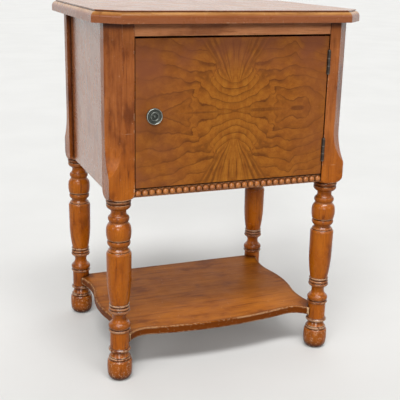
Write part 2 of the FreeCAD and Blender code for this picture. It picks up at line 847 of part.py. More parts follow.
def knob():
    """A turned metal knob: base, waist, flared head, and a face of rings round a button."""
    turning = Turning(knob_base_radius)
    turning.straight(knob_base_rise, knob_base_radius)
    turning.curve(knob_neck_rise, knob_neck_radius, knob_base_radius)
    turning.straight(knob_flare_rise, knob_rim_radius)
    turning.straight(knob_rim_rise, knob_rim_radius)
    turning.straight(knob_rim_bevel, knob_rim_radius - knob_rim_bevel)
    ring_foot = knob_ring_outer_radius + knob_groove_slope
    turning.straight(-knob_face_step, ring_foot + knob_groove_width)
    turning.straight(0, ring_foot)
    turning.straight(knob_face_step, knob_ring_outer_radius)
    turning.straight(knob_ring_bevel, knob_ring_outer_radius - knob_ring_bevel)
    turning.straight(0, knob_ring_inner_radius + knob_ring_bevel)
    turning.straight(-knob_ring_bevel, knob_ring_inner_radius)
    turning.straight(-knob_face_step, knob_ring_inner_radius - knob_groove_slope)
    turning.straight(0, knob_button_radius)
    turning.dome(knob_button_rise)
    shape = placed(turning.solid(), (knob_x, front_y, door_middle_z), -y_axis)
    return shape.cut(knob_screw(screw_clearance))


def door_panel(tools):
    """The door's core behind the veneer, with seats for the hinges, the catch and the knob's screw."""
    slab = block((door_left, front_y + veneer_thickness, door_low), (door_right, door_back_y, door_high))
    return cut_where_met(slab, tools)


def door_veneer(tools):
    """Four leaves of face veneer, matched about the door's middle."""
    middle_x = (door_left + door_right) / 2
    leaves = []
    for low_x, high_x in ((door_left, middle_x - veneer_seam / 2), (middle_x + veneer_seam / 2, door_right)):
        for low_z, high_z in ((door_low, door_middle_z - veneer_seam / 2),
                              (door_middle_z + veneer_seam / 2, door_high)):
            leaf = block((low_x, front_y, low_z), (high_x, front_y + veneer_thickness, high_z))
            leaves.append(cut_where_met(leaf, tools))
    return leaves


def catch_barrel():
    """The catch's cup, pressed into the door's edge, with a lip that keeps the bullet in."""
    start = (door_left, catch_y, catch_z)
    whole = rod(start, x_axis, catch_barrel_radius, catch_barrel_length)
    room_start = (door_left + catch_lip, catch_y, catch_z)
    room_length = catch_barrel_length - catch_lip - catch_barrel_wall
    room = rod(room_start, x_axis, catch_barrel_radius - catch_barrel_wall, room_length)
    mouth = rod((door_left - past, catch_y, catch_z), x_axis, bullet_nose_radius + bullet_clearance, 2 * past)
    return whole.cut([room, mouth])


def catch_bullet():
    """The sprung bullet: a flange behind the lip and a domed nose that stands out of the door's edge."""
    flange_front = catch_lip + bullet_clearance
    nose_rise = bullet_reach + flange_front - bullet_nose_radius
    bullet = Turning(bullet_flange_radius)
    bullet.straight(bullet_flange_thickness, bullet_flange_radius)
    bullet.straight(0, bullet_nose_radius)
    bullet.straight(nose_rise, bullet_nose_radius)
    bullet.dome(bullet_nose_radius)
    back = (door_left + flange_front + bullet_flange_thickness, catch_y, catch_z)
    return placed(bullet.solid(), back, -x_axis)


def catch_spring():
    """A coil of square wire between the bullet's flange and the bottom of the barrel."""
    low = door_left + catch_lip + bullet_clearance + bullet_flange_thickness + spring_play
    high = door_left + catch_barrel_length - catch_barrel_wall - spring_play
    length = high - low - spring_wire
    radius = catch_barrel_radius - catch_barrel_wall - spring_play - spring_wire / 2
    helix = Part.makeHelix(length / spring_turns, length, radius)
    half = spring_wire / 2
    square = ((-half, -half), (half, -half), (half, half), (-half, half))
    corners = [Vector(radius + a, 0, b) for a, b in square]
    section = Part.Wire(lines(corners + corners[:1]))
    coil = Part.Wire(helix).makePipeShell([section], True, True)
    return placed(coil, (low + half, catch_y, catch_z), x_axis)


def strike_pins(slack=0.0):
    """The two pins that hold the strike plate."""
    offsets = (-strike_pin_spacing / 2, strike_pin_spacing / 2)
    return [screw((-inner_x, catch_y, catch_z + z), -x_axis, strike_pin_head_radius, strike_pin_radius,
                  strike_pin_length, slack) for z in offsets]


def strike_plate():
    """A thin plate let into the latch-side post, with a hole for the bullet."""
    low = (-inner_x - strike_thickness, catch_y - strike_width / 2, catch_z - strike_height / 2)
    high = (-inner_x, catch_y + strike_width / 2, catch_z + strike_height / 2)
    hole_radius = bullet_nose_radius + strike_hole_clearance
    hole = rod((-inner_x + past, catch_y, catch_z), -x_axis, hole_radius, 2 * past)
    return block(low, high).cut([hole] + strike_pins(screw_clearance))


def strike_seat():
    """What the strike plate, the bullet and the pins take out of the post."""
    play = inlay_play
    low = (-inner_x - strike_thickness, catch_y - strike_width / 2 - play, catch_z - strike_height / 2 - play)
    high = (-inner_x + past, catch_y + strike_width / 2 + play, catch_z + strike_height / 2 + play)
    hole_radius = bullet_nose_radius + strike_hole_clearance
    hole = rod((-inner_x, catch_y, catch_z), -x_axis, hole_radius, strike_hole_depth)
    return [block(low, high), hole] + strike_pins(screw_clearance)


def post_tools():
    """Everything that is cut out of the leg posts."""
    tools = [panel_groove(side_panel(-1)), panel_groove(side_panel(1)), panel_groove(back_panel())]
    tools += rail_dowels(dowel_clearance, dowel_end_gap)
    tools += shelf_dowels(dowel_clearance, dowel_end_gap)
    tools += strike_seat()
    for height in hinge_heights.values():
        tools += hinge_mortise(height, 1)
    return tools


def door_tools():
    """Everything that is cut out of the door and its veneer."""
    barrel_seat = rod((door_left - past, catch_y, catch_z), x_axis, catch_barrel_radius + dowel_clearance,
                      past + catch_barrel_length)
    tools = [barrel_seat, knob_screw(screw_clearance)]
    for height in hinge_heights.values():
        tools += hinge_mortise(height, -1)
    return tools


def hinge_nodes():
    """Leaves and pins of both hinges, each a node, and the screws of each side as a group."""
    nodes = {}
    post_screws = []
    door_screws = []
    for name, height in hinge_heights.items():
        nodes["hinge_post_leaf_" + name] = hinge_leaf(height, 1)
        nodes["hinge_door_leaf_" + name] = hinge_leaf(height, -1)
        nodes["hinge_pin_" + name] = hinge_pin(height)
        post_screws += hinge_screws(height, 1)
        door_screws += hinge_screws(height, -1)
    nodes["hinge_post_screws"] = post_screws
    nodes["hinge_door_screws"] = door_screws
    return nodes


def cleat_nodes():
    """Strips inside the side panels: under the bottom board, and under the top with its screws' holes."""
    nodes = {}
    screw_holes = top_screws(screw_clearance)
    for name, side in (("left", -1), ("right", 1)):
        board_low = opening_low - board_thickness
        nodes["bottom_cleat_" + name] = side_cleat(side, bottom_cleat_width, case_bottom, board_low)
        cleat = side_cleat(side, top_cleat_size, case_top - top_cleat_size, case_top)
        nodes["top_cleat_" + name] = cut_where_met(cleat, screw_holes)
    return nodes


def all_nodes():
    """Every piece by its node's name."""
    dowel_holes = rail_dowels(dowel_clearance, dowel_end_gap)
    nodes = {
        "top": table_top(),
        "side_panel_left": side_panel(-1),
        "side_panel_right": side_panel(1),
        "back_panel": back_panel(),
        "front_top_rail": cut_where_met(front_top_rail(), dowel_holes),
        "rear_top_rail": cut_where_met(rear_top_rail(), dowel_holes),
        "front_bottom_rail": cut_where_met(front_bottom_rail(), dowel_holes),
        "rear_bottom_rail": cut_where_met(rear_bottom_rail(), dowel_holes),
        "bead_moulding": bead_moulding(),
        "bottom_board": bottom_board(),
        "door_stop": door_stop(),
        "lower_shelf": lower_shelf(),
        "rail_dowels": rail_dowels(),
        "shelf_dowels": shelf_dowels(),
        "top_screws": top_screws(),
        "strike_plate": strike_plate(),
        "strike_pins": strike_pins(),
        "door_panel": door_panel(door_tools()),
        "door_veneer": door_veneer(door_tools()),
        "knob": knob(),
        "knob_screw": knob_screw(),
        "catch_barrel": catch_barrel(),
        "catch_spring": catch_spring(),
        "catch_bullet": catch_bullet(),
    }
    nodes.update(leg_posts(post_tools()))
    nodes.update(hinge_nodes())
    nodes.update(cleat_nodes())
    return nodes


def export(nodes):
    os.makedirs("parts", exist_ok=True)
    for name, piece in nodes.items():
        shape = Part.makeCompound(piece) if isinstance(piece, list) else piece
        shape.exportStep("parts/" + name + ".step")
        print(name, len(shape.Solids), round(shape.Volume, 1), shape.isValid())


export(all_nodes())
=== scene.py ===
"""The bedside cabinet's looks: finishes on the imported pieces, with a pale floor, soft light and a camera.

Metres, in the part's own frame: the front is at -Y, and the floor is at z = 0.
"""

import math

import bpy
from mathutils import Matrix, Vector


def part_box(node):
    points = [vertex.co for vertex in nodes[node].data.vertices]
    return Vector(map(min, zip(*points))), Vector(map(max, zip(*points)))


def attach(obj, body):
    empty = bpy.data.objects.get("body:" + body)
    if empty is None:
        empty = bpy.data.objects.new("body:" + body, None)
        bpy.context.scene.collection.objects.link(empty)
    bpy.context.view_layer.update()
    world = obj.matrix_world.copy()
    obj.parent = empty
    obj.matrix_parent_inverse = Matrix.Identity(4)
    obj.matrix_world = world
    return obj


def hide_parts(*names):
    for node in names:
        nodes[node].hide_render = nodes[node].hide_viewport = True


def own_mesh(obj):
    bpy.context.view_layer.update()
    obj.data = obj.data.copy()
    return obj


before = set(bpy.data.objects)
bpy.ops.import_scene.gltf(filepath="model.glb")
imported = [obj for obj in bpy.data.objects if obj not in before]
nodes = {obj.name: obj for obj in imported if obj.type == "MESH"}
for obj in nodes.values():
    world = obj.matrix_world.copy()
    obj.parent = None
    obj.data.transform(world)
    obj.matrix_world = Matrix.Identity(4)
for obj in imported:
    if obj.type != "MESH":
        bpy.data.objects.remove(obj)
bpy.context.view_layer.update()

# Camera, as fitted to the photograph's frame
camera_place = (-0.51084, -1.31831, 0.68075)
camera_yaw = 21.486
camera_pitch = 16.657
camera_roll = 1.290
camera_lens = 71.35
sensor_width = 36.0

# How bright the room is in front of the object and behind it
room_front = 0.16
room_back = 1.0

# The height where the turned legs meet the square posts
leg_top = 0.32

# The door's face, whose four leaves of veneer meet in its middle
veneer_low, veneer_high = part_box("door_veneer")
veneer_middle_x = (veneer_low[0] + veneer_high[0]) / 2
veneer_middle_z = (veneer_low[2] + veneer_high[2]) / 2
veneer_half_width = (veneer_high[0] - veneer_low[0]) / 2
veneer_half_height = (veneer_high[2] - veneer_low[2]) / 2


def srgb(red, green, blue):
    """A colour given in screen values from 0 to 255, as the linear colour that shaders use."""
    linear = [(value / 255 / 12.92) if value < 11 else ((value / 255 + 0.055) / 1.055) ** 2.4
              for value in (red, green, blue)]
    return (*linear, 1.0)


class Field:
    """A number that varies over a surface, which can be reckoned with like any number."""

    def __init__(self, tree, socket):
        self.tree = tree
        self.socket = socket

    def math(self, operation, *values):
        node = self.tree.nodes.new("ShaderNodeMath")
        node.operation = operation
        for slot, value in zip(node.inputs, values):
            if isinstance(value, Field):
                self.tree.links.new(value.socket, slot)
            else:
                slot.default_value = value
        return Field(self.tree, node.outputs[0])

    def __add__(self, other):
        return self.math("ADD", self, other)

    def __sub__(self, other):
        return self.math("SUBTRACT", self, other)

    def __rsub__(self, other):
        return self.math("SUBTRACT", other, self)

    def __mul__(self, other):
        return self.math("MULTIPLY", self, other)

    def __truediv__(self, other):
        return self.math("DIVIDE", self, other)

    def size(self):
        return self.math("ABSOLUTE", self)

    def power(self, exponent):
        return self.math("POWER", self, exponent)

    def least(self, other):
        return self.math("MINIMUM", self, other)

    def most(self, other):
        return self.math("MAXIMUM", self, other)

    def fraction(self):
        """What is left above the next lower whole number."""
        return self.math("FRACT", self)

    def angle_from(self, other):
        """The angle whose tangent is this over the other."""
        return self.math("ARCTAN2", self, other)

    def step(self, start, end, low=0.0, high=1.0):
        """A smooth change from low to high as this goes from start to end."""
        node = self.tree.nodes.new("ShaderNodeMapRange")
        node.interpolation_type = "SMOOTHSTEP"
        self.tree.links.new(self.socket, node.inputs["Value"])
        node.inputs["From Min"].default_value = start
        node.inputs["From Max"].default_value = end
        node.inputs["To Min"].default_value = low
        node.inputs["To Max"].default_value = high
        return Field(self.tree, node.outputs["Result"])


class Finish:
    """A procedural material under way: patterns are made on it, and then joined to its shader."""

    def __init__(self, name):
        self.material = bpy.data.materials.new(name)
        self.material.use_nodes = True
        self.tree = self.material.node_tree
        self.shader = self.tree.nodes["Principled BSDF"]
        self.place = self.tree.nodes.new("ShaderNodeTexCoord").outputs["Object"]

    def set(self, **sockets):
        """Constant values on the shader's own sockets, with _ for each space in their names."""
        for name, value in sockets.items():
            self.shader.inputs[name.replace("_", " ")].default_value = value

    def join(self, name, source):
        socket = source.socket if isinstance(source, Field) else source
        self.tree.links.new(socket, self.shader.inputs[name])

    def scaled(self, x, y, z, vary=0.0):
        """The surface's place with each axis scaled; vary shifts it by a different step on each piece."""
        scale = self.tree.nodes.new("ShaderNodeVectorMath")
        scale.operation = "MULTIPLY"
        self.tree.links.new(self.place, scale.inputs[0])
        scale.inputs[1].default_value = (x, y, z)
        if not vary:
            return scale.outputs[0]
        info = self.tree.nodes.new("ShaderNodeObjectInfo")
        shift = Field(self.tree, info.outputs["Random"]) * vary
        add = self.tree.nodes.new("ShaderNodeVectorMath")
        add.operation = "ADD"
        self.tree.links.new(scale.outputs[0], add.inputs[0])
        self.tree.links.new(shift.socket, add.inputs[1])
        return add.outputs[0]

    def axes(self):
        """The surface's place as three fields, in metres."""
        split = self.tree.nodes.new("ShaderNodeSeparateXYZ")
        self.tree.links.new(self.place, split.inputs[0])
        return [Field(self.tree, socket) for socket in split.outputs]

    def vector(self, x, y, z=0.0):
        """A place made of three fields or numbers."""
        join = self.tree.nodes.new("ShaderNodeCombineXYZ")
        for slot, value in zip(join.inputs, (x, y, z)):
            if isinstance(value, Field):
                self.tree.links.new(value.socket, slot)
            else:
                slot.default_value = value
        return join.outputs[0]

    def noise(self, where, scale, detail=3.0, roughness=0.55, distortion=0.0):
        node = self.tree.nodes.new("ShaderNodeTexNoise")
        self.tree.links.new(where, node.inputs["Vector"])
        node.inputs["Scale"].default_value = scale
        node.inputs["Detail"].default_value = detail
        node.inputs["Roughness"].default_value = roughness
        node.inputs["Distortion"].default_value = distortion
        return Field(self.tree, node.outputs["Fac"])

    def spots(self, scale, detail=3.0, roughness=0.55, vary=0.0):
        """A pattern that is alike in every direction."""
        return self.noise(self.scaled(1.0, 1.0, 1.0, vary=vary), scale, detail, roughness)

    def facing_up(self, start=0.25, end=0.80):
        """From 0 to 1 as the upward part of the surface's normal goes from start to end."""
        split = self.tree.nodes.new("ShaderNodeSeparateXYZ")
        self.tree.links.new(self.tree.nodes.new("ShaderNodeNewGeometry").outputs["Normal"], split.inputs[0])
        return Field(self.tree, split.outputs["Z"]).step(start, end)

    def hollow(self, distance):
        """From 0 in the open to 1 deep in a groove or corner."""
        return 1.0 - self.near_walls(distance, False)

    def edge(self, distance):
        """From 0 on a plain face to 1 on a sharp outer edge."""
        return 1.0 - self.near_walls(distance, True)

    def rounded(self, radius):
        """The surface's normal as it would be with its edges rounded to a radius."""
        bevel = self.tree.nodes.new("ShaderNodeBevel")
        bevel.samples = 6
        bevel.inputs["Radius"].default_value = radius
        return bevel.outputs["Normal"]

    def arris(self, radius):
        """From 0 on a plain face to about 0.3 on a square edge."""
        product = self.tree.nodes.new("ShaderNodeVectorMath")
        product.operation = "DOT_PRODUCT"
        self.tree.links.new(self.rounded(radius), product.inputs[0])
        self.tree.links.new(self.tree.nodes.new("ShaderNodeNewGeometry").outputs["Normal"], product.inputs[1])
        return 1.0 - Field(self.tree, product.outputs["Value"])

    def near_walls(self, distance, inside):
        node = self.tree.nodes.new("ShaderNodeAmbientOcclusion")
        node.samples = 8
        node.inside = inside
        node.only_local = inside
        node.inputs["Distance"].default_value = distance
        return Field(self.tree, node.outputs["AO"])

    def blend(self, amount, first, second):
        """A colour that goes from the first to the second as the amount goes from 0 to 1."""
        mix = self.tree.nodes.new("ShaderNodeMix")
        mix.data_type = "RGBA"
        # The node's sockets for colours come after those for numbers, places and turns
        first_slot, second_slot, result = mix.inputs[6], mix.inputs[7], mix.outputs[2]
        self.tree.links.new(amount.socket, mix.inputs["Factor"])
        for slot, colour in ((first_slot, first), (second_slot, second)):
            if isinstance(colour, tuple):
                slot.default_value = colour
            else:
                self.tree.links.new(colour, slot)
        return result

    def bump(self, height, strength, distance, edge_radius=0.0):
        """Raise the surface by a pattern; an edge radius softens sharp edges too."""
        node = self.tree.nodes.new("ShaderNodeBump")
        node.inputs["Strength"].default_value = strength
        node.inputs["Distance"].default_value = distance
        self.tree.links.new(height.socket, node.inputs["Height"])
        if edge_radius:
            self.tree.links.new(self.rounded(edge_radius), node.inputs["Normal"])
        self.tree.links.new(node.outputs["Normal"], self.shader.inputs["Normal"])


def along(grain, with_grain, across):
    """Scales for the three axes: one along the grain's axis, another across it."""
    return [with_grain if axis == grain else across for axis in "XYZ"]


def varnished_wood(name, grain, dark, middle, light, worn, shaded_sides=None, upper=None, deck=None, recess=1.0,
                   wear=0.6, gloss=0.22, shine=0.2, coat=0.0, relief=0.10, clouding=0.45):
    """Stained and varnished wood: streaks, open pores, dirt and painted shade in hollows, and stain rubbed
    off the edges.

    Shaded sides tint the faces that don't look up, so that upward faces stand lighter as painted light from
    above;
    upper tints what stands above the turned legs, and deck tints a level face on top. Recess scales the stain
    on narrow turnings and the painted shade and dirt in hollows, and clouding says how dark the blotches are.
    """
    finish = Finish(name)
    height = finish.axes()[2]

    # Patterns of the grain, drawn out along it
    streaks = finish.noise(finish.scaled(*along(grain, 5.0, 60.0), vary=9.0), 2.0, 4.0, 0.6, 0.8)
    blotches = finish.noise(finish.scaled(*along(grain, 9.0, 16.0), vary=4.0), 1.8, 3.0)
    lines = finish.noise(finish.scaled(*along(grain, 9.0, 230.0), vary=7.0), 3.0, 3.0, 0.6)
    pores = finish.noise(finish.scaled(*along(grain, 60.0, 1500.0)), 1.0, 2.0).step(0.60, 0.72)

    # The stain's own tones, with darker grain over them
    lightness = (streaks * 0.45 + blotches * 0.55).step(0.36, 0.66)
    colour = finish.blend(lightness, middle, light)
    if upper:
        above_legs = height.step(leg_top - 0.02, leg_top + 0.16)
        colour = finish.blend(above_legs, colour, finish.blend(lightness, *upper))
    if deck:
        colour = finish.blend(finish.facing_up(0.96, 0.99), colour, finish.blend(lightness, *deck))
    # Faces that don't look up take the shaded side colour, so upward faces stand lighter: painted light from
    # above
    if shaded_sides:
        colour = finish.blend(finish.facing_up(), shaded_sides, colour)
    dark_streaks = streaks.step(0.44, 0.30) * 0.5
    dark_blotches = blotches.step(0.44, 0.30) * clouding
    dark_lines = lines.step(0.50, 0.72) * 0.38
    dark_pores = pores * 0.3

    # The stain lies thick on narrow turnings, hollows get painted shade, and the feet are darker towards the
    # floor
    below_case = height.step(leg_top + 0.004, leg_top - 0.004)
    thick_stain = finish.edge(0.012).step(0.15, 0.34) * below_case * (0.7 * recess)
    # The feet are darker towards the floor, in blotches
    darker_near_floor = height.step(0.050, 0.005) * blotches.step(0.30, 0.65) * 0.55
    # Painted shade: darker in broad hollows and under the turned rings
    shade = finish.hollow(0.024).step(0.10, 0.45) * (0.85 * recess)
    for amount in (dark_streaks, dark_blotches, dark_lines, dark_pores, thick_stain, darker_near_floor, shade):
        colour = finish.blend(amount, colour, dark)
    # Painted shade and dirt: grooves and tight corners turn near-black
    dirt_and_shade = finish.hollow(0.006)
    dirt_and_shade_colour = tuple(value * 0.4 for value in dark[:3]) + (1.0,)
    colour = finish.blend(dirt_and_shade.step(0.15, 0.50) * (0.80 * recess), colour, dirt_and_shade_colour)

    # The stain is rubbed off the edges, most on the legs and not in hollows
    chips = finish.spots(150.0, 4.0, 0.75, vary=3.0)
    handled = finish.spots(16.0, 2.0, vary=8.0)
    on_legs = height.step(leg_top + 0.02, leg_top - 0.02, 0.0, 0.09)
    rubbed = (chips * 0.6 + handled * 0.4 + on_legs).step(0.52, 0.61) * dirt_and_shade.step(0.30, 0.10)
    edges = finish.edge(0.0040).step(0.12, 0.34).most(finish.arris(0.0016).step(0.010, 0.050))
    worn_edge = edges * rubbed * height.step(leg_top + 0.04, leg_top, 0.4, 1.0)
    colour = finish.blend(worn_edge * wear, colour, worn)

    # Small scuffs, most near the floor, and scratches across the grain
    low_down = height.step(0.09, 0.03, 0.0, 0.12)
    scuffs = (finish.spots(260.0, 3.0, 0.75, vary=5.0) + low_down).step(0.69, 0.74)
    scratches = finish.noise(finish.scaled(*along(grain, 600.0, 50.0), vary=6.0), 1.0, 2.0).step(0.73, 0.77)
    colour = finish.blend(scuffs.most(scratches) * (0.7 * wear), colour, worn)

    finish.join("Base Color", colour)
    sheen = finish.spots(35.0, 4.0, 0.6, vary=2.0)
    finish.join("Roughness", sheen.step(0.3, 0.7, gloss, gloss + 0.12) + worn_edge * 0.2)
    finish.set(Specular_IOR_Level=shine, IOR=1.5, Coat_Weight=coat, Coat_Roughness=gloss, Coat_IOR=1.5)
    if upper:
        # Wax lies on the shoulders of the turned rings
        finish.join("Coat Weight", finish.facing_up() * below_case)
    finish.bump(streaks * 0.3 + lines * 0.4 - pores * 0.6, relief, 0.0005, edge_radius=0.0008)
    return finish.material


def figured_veneer(name):
    """Four matched leaves of walnut veneer: bands like wings about the door's middle, and two fans.

    Places on a leaf are millimetres from the door's middle: across to either side, and up or down.
    """
    ground = srgb(148, 84, 24)
    glow = srgb(180, 110, 34)
    gold = srgb(188, 122, 40)
    band = srgb(86, 42, 10)
    dull = srgb(130, 74, 48)
    scuffed = srgb(214, 160, 100)
    band_pitch = 15.0
    first_band = 20.5
    shoulder_reach = 99.0
    shoulder_lean = 0.72
    level_start = 80.0
    parting_height = 46.0
    ring_place = 112.0
    eye_place = 114.0
    fan_foot = 34.0
    fan_slope = 0.72
    ray_root = 30.0
    finish = Finish(name)
    x, _, z = finish.axes()
    right_half = (x - veneer_middle_x).step(-0.01, 0.01)

    # The place on the leaf, with each leaf a little different from its neighbours
    drift = finish.spots(14.0, 2.0) - 0.5
    across = ((x - veneer_middle_x) * 1000.0).size() + drift * 10.0
    up = (((z - veneer_middle_z) * 1000.0).size() - drift * 10.0).most(0.0)
    leaf = finish.vector(across, up)
    sway = finish.noise(leaf, 0.014, 2.0, 0.5) - 0.5
    curl = finish.noise(leaf, 0.06, 2.0, 0.5) - 0.5
    hair = finish.noise(finish.vector(across * 0.5, up * 0.12), 4.0, 2.0, 0.5)

    # Inside the shoulder each band is a bowl, steeper the higher it lies; its level is where it ends
    bowl = across * across
    inside = (up - bowl * 0.003) / (bowl * 0.00045 + 1.0) * 1.35 + 34.0
    # Outside it the bands run level and part towards the door's edge; on the right they close round an eye
    spread = (across - level_start).most(0.0) * 0.012 + 1.0
    flat = (up - parting_height) / spread + parting_height
    ring = (((across - ring_place) * 0.7).power(2.0) + up.power(2.0)).power(0.5)
    round_eye = (across - ring_place + 4.0).step(-8.0, 8.0) * right_half
    beyond = flat * (1.0 - round_eye) + ring * round_eye
    shoulder = shoulder_reach - inside * shoulder_lean + curl * 30.0
    width = up.step(0.0, 30.0, 16.0, 5.0)
    outside = ((across - shoulder) / width).step(-1.0, 1.0)
    level = inside * (1.0 - outside) + beyond * outside + sway * 26.0 + curl * 9.0

    # Each band is a dark line with a shade below it that thins out towards the next, deepest at the shoulder
    phase = ((level - first_band) / band_pitch).fraction()
    line = phase.step(0.10, 0.01).most(phase.step(0.94, 0.99))
    shade = phase.step(0.35, 1.0)
    thin_line = ((level + sway * 20.0) / 5.6).fraction().step(0.22, 0.0)
    patchy = finish.noise(leaf, 0.030, 2.0, 0.6)
    fading = patchy.step(0.34, 0.58, 0.55, 1.0) * across.step(165.0, 85.0, 0.60, 1.0)
    at_shoulder = ((across - shoulder) / 16.0).size().step(1.0, 0.2)
    at_shoulder = at_shoulder * up.step(110.0, 80.0) * up.step(14.0, 32.0)
    figure = (line * 0.95 + shade * (at_shoulder * 0.45 + 0.42) + thin_line * 0.22).least(1.0) * fading

    # A fan of rays opens above the bands, its foot on the upright middle line
    turn = across.angle_from((up - ray_root).most(1.0))
    from_fan = across - (up - fan_foot) * fan_slope
    in_fan = from_fan.step(7.0, -7.0) * up.step(36.0, 56.0)
    rays = finish.noise(finish.vector(turn * 13.0, up * 0.008), 1.0, 2.0, 0.5).step(0.46, 0.64)
    outer_ray = from_fan.size().step(4.5, 0.5) * up.step(44.0, 70.0)
    figure = figure * (1.0 - in_fan * 0.85) + rays * in_fan * 0.75
    figure = figure.most(outer_ray * 0.6)

    # Pointed streaks and an eye along the level middle line
    streak = up.step(3.2, 0.6) * across.step(18.0, 34.0) * across.step(100.0, 60.0)
    eye_distance = ((across - eye_place) * 0.32).power(2.0) + up.power(2.0)
    eye = eye_distance.step(26.0, 8.0) * right_half
    figure = figure.most(streak * 0.7).most(eye * 0.85)

    # The ground's mottled tones, golden about the middle, with fibres and the figure over them
    mottle = finish.noise(leaf, 0.05, 5.0, 0.7)
    golden = finish.noise(finish.vector(across, up * 0.3), 0.12, 4.0, 0.6).step(0.35, 0.65)
    fibres = finish.noise(finish.vector(across * 0.9, up * 0.16), 2.2, 3.0, 0.65).step(0.46, 0.70)
    colour = finish.blend(mottle.step(0.36, 0.68) * 0.75, ground, glow)
    colour = finish.blend(across.step(85.0, 5.0) * golden * 0.55, colour, gold)
    colour = finish.blend(hair.step(0.50, 0.75).most(fibres) * 0.30, colour, band)
    colour = finish.blend(figure * 0.8, colour, band)

    # Redder and duller towards the outer edges and the left; near the top this is painted shade and a painted
    # haze of reflection; with small pale specks
    near_edge = (across / (veneer_half_width * 1000.0)).power(2.0) * 0.5
    top_painted_shade = ((z - veneer_middle_z) / veneer_half_height).step(0.30, 1.0) * 0.8
    near_left = (x - veneer_middle_x).step(-0.04, -0.16) * 0.22
    patch = finish.spots(22.0, 3.0).step(0.35, 0.65, 0.35, 1.0)
    colour = finish.blend((near_edge + top_painted_shade + near_left).least(0.85) * patch, colour, dull)
    specks = finish.spots(330.0, 3.0, 0.8).step(0.73, 0.78)
    colour = finish.blend(specks * 0.4, colour, scuffed)

    finish.join("Base Color", colour)
    sheen = finish.spots(30.0, 4.0, 0.6)
    finish.join("Roughness", sheen.step(0.3, 0.7, 0.32, 0.46))
    finish.set(Specular_IOR_Level=0.16, IOR=1.5)
    finish.bump(hair * 0.6 + figure * 0.4, 0.08, 0.0005, edge_radius=0.0006)
    return finish.material


def raw_wood(name, grain):
    """Plain unvarnished wood inside the case."""
    finish = Finish(name)
    streaks = finish.noise(finish.scaled(*along(grain, 2.0, 34.0), vary=9.0), 2.0, 5.0, 0.6, 0.6)
    pores = finish.noise(finish.scaled(*along(grain, 50.0, 1200.0)), 1.0, 2.0).step(0.6, 0.75)
    colour = finish.blend(streaks.step(0.30, 0.72), srgb(156, 106, 66), srgb(192, 144, 94))
    colour = finish.blend(pores * 0.4, colour, srgb(104, 70, 42))
    # Painted shade: darker in the case's inner corners
    colour = finish.blend(finish.hollow(0.02).step(0.3, 0.9) * 0.6, colour, srgb(60, 40, 26))
    finish.join("Base Color", colour)
    finish.join("Roughness", streaks.step(0.3, 0.7, 0.6, 0.78))
    finish.bump(streaks * 0.5 - pores, 0.2, 0.0008)
    return finish.material


def aged_metal(name, deep, face, bright, shine, metal=0.8):
    """Old metal: dark in its grooves, rubbed bright on its edges, with a faintly cloudy surface."""
    finish = Finish(name)
    cloud = finish.spots(150.0, 3.0, 0.6, vary=3.0)
    grit = finish.spots(1800.0, 2.0, vary=5.0)
    colour = finish.blend(cloud.step(0.25, 0.75, 0.55, 1.0), deep, face)
    colour = finish.blend(finish.hollow(0.003).step(0.25, 0.7) * 0.9, colour, deep)
    rubbed = finish.edge(0.0014).step(0.12, 0.42) * cloud.step(0.3, 0.6, 0.6, 1.0)
    colour = finish.blend(rubbed, colour, bright)
    finish.join("Base Color", colour)
    finish.join("Roughness", cloud.step(0.3, 0.7, shine, shine + 0.15))
    finish.set(Metallic=metal)
    finish.bump(grit * 0.4 + cloud, 0.10, 0.0001, edge_radius=0.0004)
    return finish.material


def pale_floor(name):
    """A plain pale studio floor, which throws little light back on the object."""
    finish = Finish(name)
    cloud = finish.spots(2.5, 4.0)
    pale = finish.blend(cloud.step(0.3, 0.7), srgb(226, 226, 224), srgb(230, 230, 228))
    path = finish.tree.nodes.new("ShaderNodeLightPath").outputs
    camera, glossy, through = [Field(finish.tree, path["Is " + kind + " Ray"])
                               for kind in ("Camera", "Glossy", "Transmission")]
    finish.join("Base Color", finish.blend(camera.most(glossy).most(through), srgb(120, 118, 116), pale))
    finish.set(Roughness=0.8)
    return finish.material


def dress(material, *names):
    """Give a material to CAD nodes."""
    for name in names:
        for slot in nodes[name].material_slots:
            slot.material = material


def matching(*starts):
    """The CAD nodes whose names begin with any of these words."""
    return [name for name in nodes if name.startswith(starts)]


upright = varnished_wood("stained_walnut_upright", "Z", dark=srgb(78, 32, 6), middle=srgb(164, 84, 14),
                         light=srgb(184, 102, 22), worn=srgb(232, 194, 156),
                         upper=(srgb(138, 72, 30), srgb(180, 106, 52)))
# The rail's tones are painted paler than the rest, as painted light against the shadow under the top
level = varnished_wood("walnut_rail_painted_light", "X", dark=srgb(110, 58, 28), middle=srgb(196, 126, 80),
                       light=srgb(210, 142, 94), worn=srgb(224, 178, 128), recess=0.2)
door_core = varnished_wood("stained_walnut_door", "Z", dark=srgb(92, 46, 18), middle=srgb(150, 86, 38),
                           light=srgb(172, 106, 54), worn=srgb(224, 178, 128), recess=0.4, wear=0.3,
                           clouding=0.15)
panel = varnished_wood("stained_walnut_panel", "Z", dark=srgb(112, 62, 32), middle=srgb(158, 90, 44),
                       light=srgb(176, 106, 56), worn=srgb(200, 160, 124), wear=0.25, coat=0.9, relief=0.03)
beads = varnished_wood("carved_beads", "X", dark=srgb(98, 50, 18), middle=srgb(164, 94, 40),
                       light=srgb(192, 122, 60), worn=srgb(226, 186, 134), recess=0.75, wear=0.3, coat=0.5)
# The top's middle and light tones, paler than its sides and deck, are a painted highlight on the upward round
# of its edge
polished = varnished_wood("polished_top", "X", dark=srgb(116, 60, 22), middle=srgb(178, 122, 62),
                          light=srgb(202, 146, 84), worn=srgb(226, 190, 148), shaded_sides=srgb(150, 84, 42),
                          deck=(srgb(158, 98, 48), srgb(180, 118, 64)), coat=0.47, relief=0.04, clouding=0.12)
